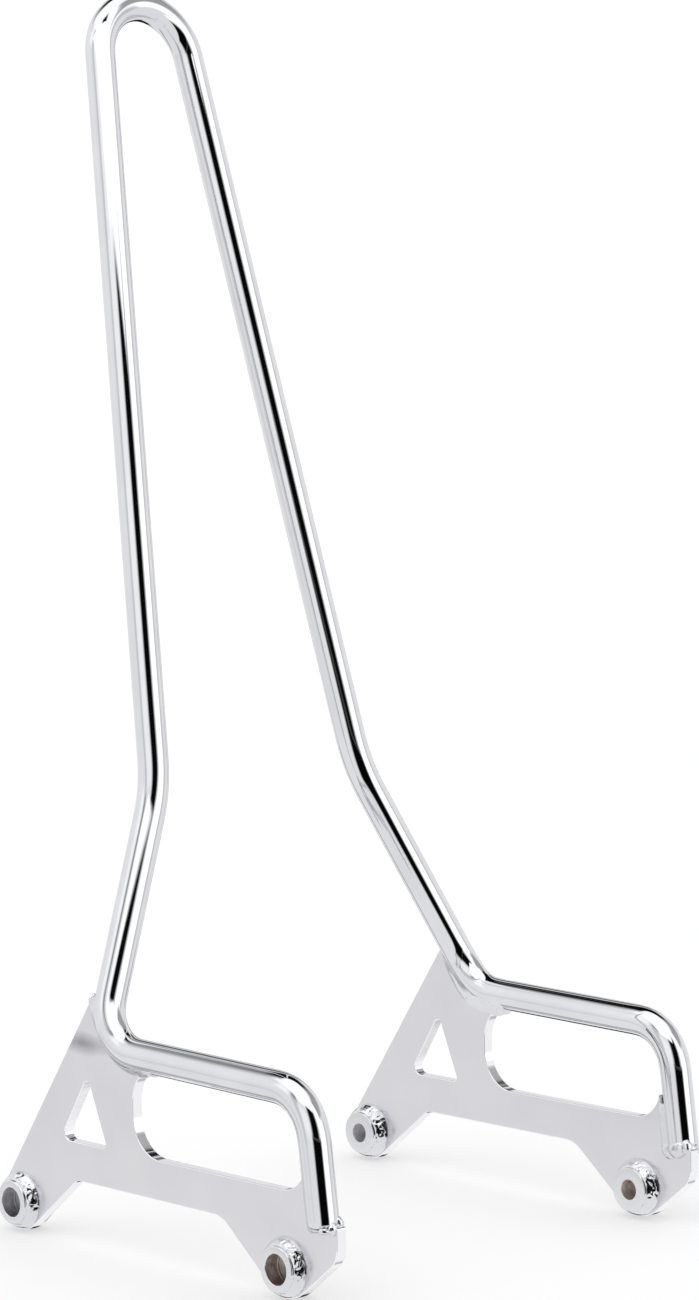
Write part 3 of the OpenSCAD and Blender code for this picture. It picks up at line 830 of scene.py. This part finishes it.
def make_fillet(name, stations, material, flip, seed, rough, sag, drops, uneven):
    """A fillet along a seam: a skin through sections, each given by its point on the plate,
    the corner that its two tangents make, its point on the bar, a point inside the metal and
    how much of the swell it has there. sag is the swell in mm, rough the lumps' height at
    each section, and uneven how lumpy the drops are."""
    across = 14
    rings = []
    for (p, c, q, under, fade), height in zip(stations, rough):
        ring = []
        for k in range(across + 1):
            t = k / across
            s = (1 - t) ** 2 * p + 2 * t * (1 - t) * c + t ** 2 * q
            away = p + (q - p) * t - c
            size = np.linalg.norm(away)
            bow = math.sin(math.pi * t)
            lift = sag + height * two_lumps(s, 1.5, 0.7, seed)
            if size > 1e-6:
                s = s + away / size * lift * bow * fade
            ring.append(s)
        ring.append(under)
        rings.append(ring)
    verts, faces = loft(rings)
    if flip:
        faces = [f[::-1] for f in faces]
    verts = list(verts)
    for n, (centre, sizes) in enumerate(drops):
        more, skin = blob(centre, sizes, seed + n, uneven)
        faces += [tuple(i + len(verts) for i in f) for f in skin]
        verts += more
    obj = new_object(name + "_bead", verts, faces, [material], sharp=60)
    return finish_piece(obj, "weld", name)


def section(axis, off_dir, x_face, up, plate_w, bar_arc, under_in):
    """A fillet's section between a plate's face and the bar's side, off_dir from the bar's
    axis: plate point, corner of the two tangents, bar point and a point inside the metal."""
    def at(x, off):
        q = axis[1:] + off * off_dir
        return vec(x, q[0], q[1])
    steepest = math.radians(84)
    lift = max(-0.999, min(0.999, up * (x_face - axis[0]) / BAR_R))
    low = math.asin(lift)
    high = min(low + bar_arc / BAR_R, steepest)
    corner_off = BAR_R * math.cos(high) + (math.sin(high) - math.sin(low)) / math.cos(high) * (
        BAR_R * math.sin(high))
    start = max(BAR_R * math.cos(low), edge_off)
    p = at(x_face - up * SUNK, start + plate_w)
    c = at(x_face, min(corner_off, start + 0.3 * plate_w))
    q = at(axis[0] + up * (BAR_R - SUNK) * math.sin(high), (BAR_R - SUNK) * math.cos(high))
    under = at(x_face - up * under_in, edge_off - 0.5)
    return p, c, q, under


def round_in(t):
    """From 0 to 1 along a quarter circle."""
    return math.sqrt(max(0.0, 1 - (1 - t) ** 2))


def tapered(full, least, grow):
    """A size that falls to its least share as grow falls from 1 to 0."""
    return full * (least + (1 - least) * grow)


def bend_stations():
    """Points of the bar's middle line from the window's seam round the bend to the tip, each
    with the bar's direction there."""
    seam_y, run_steps, bend_steps, leg_steps = -3, 16, 26, 8
    run_at = rear_corner + (seam_y - RUN_REAR_Y) / run_dir[1] * run_dir
    length = np.linalg.norm(bend_start - run_at)
    out = [(run_at + length * k / run_steps * run_dir, run_dir) for k in range(run_steps)]
    for i in REAR_BENDS:
        bend = bend_at(i)
        out += [on_bend(bend, bend["turn"] * k / bend_steps) for k in range(bend_steps)]
    reach = float((tip - leg_edge) @ leg_flat) + 0.6
    out += [(bend_end + reach * k / leg_steps * leg_dir, leg_dir) for k in range(leg_steps + 1)]
    return out


def make_bend_weld(side, face, seed):
    """The fillet round the rear bend, with a drop over the plate's tip."""
    x_face, up = (PLATE_OUT, 1) if face == "outer" else (PLATE_IN, -1)
    line = bend_stations()
    n = len(line)
    width = wobble(seed, range(2, 9), 0.5)
    stations, rough = [], []
    for i, (p, d) in enumerate(line):
        fade = round_in(min(1.0, min(i, n - 1 - i) / 5))
        a = 2 * math.pi * i / n
        sec = section(p, right_of(unit(d[1:])), x_face, up,
                      plate_w=tapered(2.3 + width(a), 0.25, fade),
                      bar_arc=tapered(3.0 + width(a + 1), 0.3, fade), under_in=1.1)
        stations.append((*mirrored(sec, side), fade))
        # lumpiest beside the window's rear corner
        rough.append(0.03 + 0.22 * math.exp(-((i - 12) / 7) ** 2))
    name = side_name(side) + "_bend_" + face + "_weld"
    y, z = tip - 1.7 * unit(tip - leg_edge) + vec(0.0, 0.8)
    drops = [(vec(side * (PLATE_MID + up * 1.2), y, z), vec(1.6, 1.1, 2.6))]
    return make_fillet(name, stations, seam_chrome, side * up > 0, seed, rough,
                       sag=0.30, drops=drops, uneven=0.1)


# Drops of metal at the bar's end: x, across the bar and along it, with their half sizes
END_DROPS = {
    "inner": (((96.9, -4.3, 0.8), (2.6, 2.9, 3.3)),
              ((95.4, -0.6, 0.2), (2.6, 4.6, 3.8)),
              ((95.6, 4.0, -0.4), (1.5, 4.0, 3.6))),
    "outer": (((99.6, -6.0, -0.8), (3.4, 1.35, 2.4)),
              ((103.4, -4.2, -0.9), (2.4, 2.0, 1.4)),
              ((102.4, 0.6, -0.9), (1.6, 3.2, 0.9))),
}


def end_point(x, off, along):
    """A point at x, off to the rear of the front leg's axis and along it from its cut end."""
    q = foot + off * leg_back + along * leg_up
    return vec(x, q[0], q[1])


# Rows of the bead down the leg, round the corner and under the end
LEG_ROWS, TURN_ROWS, END_ROWS = 30, 16, 30
BEAD_TOP, BEAD_DOWN = 19.0, 18.0
INNER_BIGGER = 1.05


def row_angle(row):
    """Where a row stands on the random curves."""
    one_turn = 60
    return 2 * math.pi * row / one_turn


def down_leg(x_face, up, big, width):
    """Sections of the end's bead down the rear side of the front leg."""
    out = []
    for i in range(LEG_ROWS):
        grow, a = round_in(min(1.0, i / 8)), row_angle(i)
        axis = end_point(HALF, 0, BEAD_TOP - BEAD_DOWN * i / (LEG_ROWS - 1))
        sec = section(axis, leg_back, x_face, up,
                      plate_w=big * tapered(2.2 + width(a) + 0.9 * i / LEG_ROWS, 0.2, grow),
                      bar_arc=big * tapered(2.8 + width(a + 1), 0.2, grow), under_in=1.0)
        out.append((*sec, grow))
    return out


def under_end(x_face, up, big, width, covers):
    """Sections of the end's bead round the corner and forward under the bar's end. The inner
    bead also covers the end, by the random curve covers."""
    inner = up < 0
    corner_off = math.sqrt(BAR_R ** 2 - (x_face - HALF) ** 2)
    reach_to = (-0.9 if inner else -0.95) * corner_off
    out = []
    for i in range(TURN_ROWS + END_ROWS):
        if i < TURN_ROWS:
            t = math.radians(90 * (i + 0.5) / TURN_ROWS)
            base_off, out_dir = corner_off, (math.cos(t), -math.sin(t))
            grow, turned = 1.0, math.sin(t)
        else:
            k = (i - TURN_ROWS + 1) / END_ROWS
            base_off, out_dir = corner_off + (reach_to - corner_off) * k, (0.0, -1.0)
            grow, turned = math.sqrt(max(0.0, 1 - max(0.0, (k - 0.75) / 0.25) ** 2)), 1.0
        a = row_angle(LEG_ROWS + i)
        w = big * tapered(3.1 + width(a), 0.15, grow)
        p = end_point(x_face - up * SUNK, base_off + w * out_dir[0], w * out_dir[1])
        if inner:
            q_off = base_off * 0.93
            crest = HALF + up * math.sqrt((BAR_R - 0.04) ** 2 - q_off ** 2)
            over = turned * tapered(3.4 + covers(a), 0.4, grow)
            c = end_point(crest + up * 0.25, base_off + 0.25 * w * out_dir[0], 0.35 * w * out_dir[1])
            q = end_point(crest, q_off, over)
        else:
            h = big * tapered(2.6 + width(a + 1), 0.15, grow)
            rim = math.sqrt(max(0.05, (BAR_R - 0.9) ** 2 - (x_face + up * h - HALF) ** 2))
            c = end_point(x_face, base_off + 0.2 * out_dir[0], 0.2 * out_dir[1])
            q = end_point(x_face + up * h, min(base_off, rim), 0.6)
        out.append((p, c, q, end_point(x_face - up * 1.0, base_off - 0.4, 0.2), grow))
    return out


def make_end_weld(side, face, seed):
    """The bead down the rear side of the front leg and on under its cut end, with its drops."""
    inner = face == "inner"
    x_face, up = (PLATE_IN, -1) if inner else (PLATE_OUT, 1)
    big = INNER_BIGGER if inner else 1.0
    width = wobble(seed, range(1, 6), 0.45)
    covers = wobble(seed + 5, range(1, 5), 0.6)
    line = down_leg(x_face, up, big, width) + under_end(x_face, up, big, width, covers)
    stations = [(*mirrored(sec, side), grow) for *sec, grow in line]
    if inner:
        rough = [0.06] * LEG_ROWS + [0.07] * (TURN_ROWS + END_ROWS)
    else:
        rough = [0.06] * LEG_ROWS + [0.12] * (TURN_ROWS + 1) + [0.26] * (END_ROWS - 1)
    name = side_name(side) + "_end_" + face + "_weld"
    drops = [(end_point(*at) * vec(side, 1, 1), vec(*sizes)) for at, sizes in END_DROPS[face]]
    return make_fillet(name, stations, end_chrome, side * up > 0, seed, rough,
                       sag=0.45, drops=drops, uneven=0.07 if inner else 0.2)


# The pieces, with a seed of its own for each bead
make_bar()
for side in (1, -1):
    own = 5 if side > 0 else 0
    make_plate(side)
    for n, end in enumerate(("rear", "front")):
        make_boss(side, end)
        for m, face in enumerate(("outer", "inner")):
            make_boss_weld(side, end, face, 11 + 40 * n + 17 * m + own)
    for m, face in enumerate(("outer", "inner")):
        make_bend_weld(side, face, 201 + 13 * m + own)
        make_end_weld(side, face, 301 + 13 * m + own)

# Camera, fitted to the photo
AZ, EL, ROLL = math.radians(-42.39), math.radians(4.65), math.radians(-0.69)
CAMERA_AT = (-1066.39, -1180.82, 355.23)
FOCAL_PIXELS, PHOTO_HEIGHT, SENSOR = 3892.4, 1300, 36.0
back = Vector((math.sin(AZ) * math.cos(EL), -math.cos(AZ) * math.cos(EL), math.sin(EL)))
right = Vector((0, 0, 1)).cross(back).normalized()
upward = back.cross(right)


def make_camera():
    c, s = math.cos(ROLL), math.sin(ROLL)
    x, y, at = c * right + s * upward, -s * right + c * upward, Vector(CAMERA_AT) * MM
    data = bpy.data.cameras.new("camera")
    data.sensor_fit = "AUTO"
    data.sensor_width = SENSOR
    data.lens = FOCAL_PIXELS * SENSOR / PHOTO_HEIGHT
    data.clip_end = 100
    cam = bpy.data.objects.new("camera", data)
    cam.matrix_world = Matrix(((x.x, y.x, back.x, at.x), (x.y, y.y, back.y, at.y),
                               (x.z, y.z, back.z, at.z), (0, 0, 0, 1)))
    bpy.context.scene.collection.objects.link(cam)
    bpy.context.scene.camera = cam
    bpy.context.scene.view_settings.view_transform = "Standard"


def flat_panel(name, points, material):
    """One flat face of the studio, from four corners in metres."""
    me = bpy.data.meshes.new(name)
    me.from_pydata(points, [], [(0, 1, 2, 3)])
    me.materials.append(material)
    obj = bpy.data.objects.new(name, me)
    bpy.context.scene.collection.objects.link(obj)
    return obj


def make_floor():
    """One very large pale plane just under the part, far wider than the view."""
    size, gap = 30.0, 0.0001
    z = -LOBE_R * MM - gap
    mat = bpy.data.materials.new("floor_pale")
    shader = Graph(mat).nodes["Principled BSDF"]
    shader.inputs["Base Color"].default_value = (0.62, 0.62, 0.623, 1)
    shader.inputs["Emission Color"].default_value = (1, 1, 1, 1)
    shader.inputs["Emission Strength"].default_value = 0.36
    shader.inputs["Roughness"].default_value = 1.0
    shader.inputs["Specular IOR Level"].default_value = 0.0
    obj = flat_panel("floor", [(-size, -size, z), (size, -size, z), (size, size, z), (-size, size, z)],
                     mat)
    obj.visible_glossy = False


# Studio light
toward = Vector((back.x, back.y, 0)).normalized()
PLAIN_LIGHT = 1.05
ROOM_LIGHT = 0.97

# Each card's turn from the camera's side, positive to the right, its rise above level, both
# in degrees, the light's level there, and how soft its sides are and its top and bottom
CARDS = [
    # the ceiling
    ((-200, 200), (47, 95), 1.35, 4, 6),
    # pale cards on the left
    ((-125, -85), (8, 36), 1.04, 6, 8),
    ((-112, -80), (-12, -4), 0.86, 6, 3),
    # bright cards right of the camera
    ((48, 90), (-3, 60), 1.55, 5, 4),
    ((40, 60), (-16, -3), 1.55, 5, 4),
    # pale and grey cards left of the camera
    ((-92, -70), (24, 46), 1.25, 6, 6),
    ((-50, -14), (2, 34), 1.15, 8, 8),
    ((-66, -52), (-8, 34), 0.74, 5, 4),
    ((-64, -48), (34, 50), 0.42, 4, 4),
    # grey cards on the right
    ((88, 101), (-4, 22), 0.72, 4, 4),
    ((76, 142), (27, 58), 0.45, 7, 6),
    # dark cards in front, which give the bars their black lines
    ((-10, 47), (-21, 8), 0.002, 7, 3),
    ((-6, 39), (6, 70), 0.002, 8, 3),
]
# Cards behind the part, the same on both sides, with the turn counted either way
FAR_CARDS = [
    # high, grey and dark
    ((124, 200), (35, 60), 0.38, 14, 3),
    ((158, 200), (37, 46), 0.005, 4, 1.5),
    ((138, 200), (43.5, 62), 0.004, 9, 2.5),
    # level, grey
    ((165, 200), (17, 31), 0.14, 6, 3),
    ((163, 200), (-12, 14), 0.78, 6, 4),
    # low, dark and grey
    ((166, 200), (-40, 4), 0.01, 5, 3),
    ((122, 136), (-60, -14), 0.5, 5, 4),
]


def make_world():
    """A pale room with brighter, greyer and dark cards in it, seen only in reflections. The
    camera and the floor see plain white instead."""
    world = bpy.data.worlds.new("studio")
    bpy.context.scene.world = world
    g = Graph(world)
    g.nodes.clear()
    coord = g.add("ShaderNodeTexCoord").outputs["Generated"]
    to_degrees = 180 / math.pi
    turned = g.maths("MULTIPLY", g.maths("ARCTAN2", g.dot(coord, right), g.dot(coord, toward)),
                     to_degrees)
    risen = g.maths("MULTIPLY", g.maths("ARCSINE", g.dot(coord, (0, 0, 1))), to_degrees)
    either_way = g.maths("ABSOLUTE", turned)

    def between(value, ends, soft):
        low, high = ends
        return g.maths("MULTIPLY", g.to_range(value, (low - soft, low + soft), (0, 1), smooth=True),
                       g.to_range(value, (high - soft, high + soft), (1, 0), smooth=True))
    level = ROOM_LIGHT
    for cards, across in ((CARDS, turned), (FAR_CARDS, either_way)):
        for turns, rises, strength, turn_soft, rise_soft in cards:
            n = g.add("ShaderNodeMix", B=strength)
            g.links.new(g.maths("MULTIPLY", between(across, turns, turn_soft),
                                between(risen, rises, rise_soft)), n.inputs["Factor"])
            g.put(level, n.inputs["A"])
            level = n.outputs["Result"]
    shown = g.add("ShaderNodeBackground", Color=(1, 1, 1, 1))
    g.links.new(level, shown.inputs["Strength"])
    plain = g.add("ShaderNodeBackground", Color=(1, 1, 1, 1), Strength=PLAIN_LIGHT)
    path = g.add("ShaderNodeLightPath")
    mix = g.add("ShaderNodeMixShader")
    g.links.new(path.outputs["Is Glossy Ray"], mix.inputs[0])
    g.links.new(plain.outputs[0], mix.inputs[1])
    g.links.new(shown.outputs[0], mix.inputs[2])
    out = g.add("ShaderNodeOutputWorld")
    g.links.new(mix.outputs[0], out.inputs["Surface"])


def make_softbox():
    """A wide light overhead, seen only in reflections, whose front edge ends the dark
    lines on the bar at different heights. Its sizes are in metres."""
    near, far, left, right_edge, z, soft = 0.803, 0.10, -0.50, 0.45, 0.81, 0.10
    mat = bpy.data.materials.new("softbox_light")
    g = Graph(mat)
    g.nodes.clear()
    along = g.dot(g.add("ShaderNodeTexCoord").outputs["Object"], toward)
    light = g.add("ShaderNodeEmission", Strength=1.4)
    clear = g.add("ShaderNodeBsdfTransparent")
    mix = g.add("ShaderNodeMixShader")
    g.links.new(g.to_range(along, (near, near - soft), (0, 1), smooth=True), mix.inputs[0])
    g.links.new(clear.outputs[0], mix.inputs[1])
    g.links.new(light.outputs[0], mix.inputs[2])
    out = g.add("ShaderNodeOutputMaterial")
    g.links.new(mix.outputs[0], out.inputs["Surface"])
    ends = [(near, left), (near, right_edge), (far, right_edge), (far, left)]
    obj = flat_panel("softbox", [tuple(toward * a + right * b + Vector((0, 0, z))) for a, b in ends],
                     mat)
    obj.visible_camera = obj.visible_diffuse = obj.visible_shadow = False


make_floor()
make_camera()
make_softbox()
make_world()
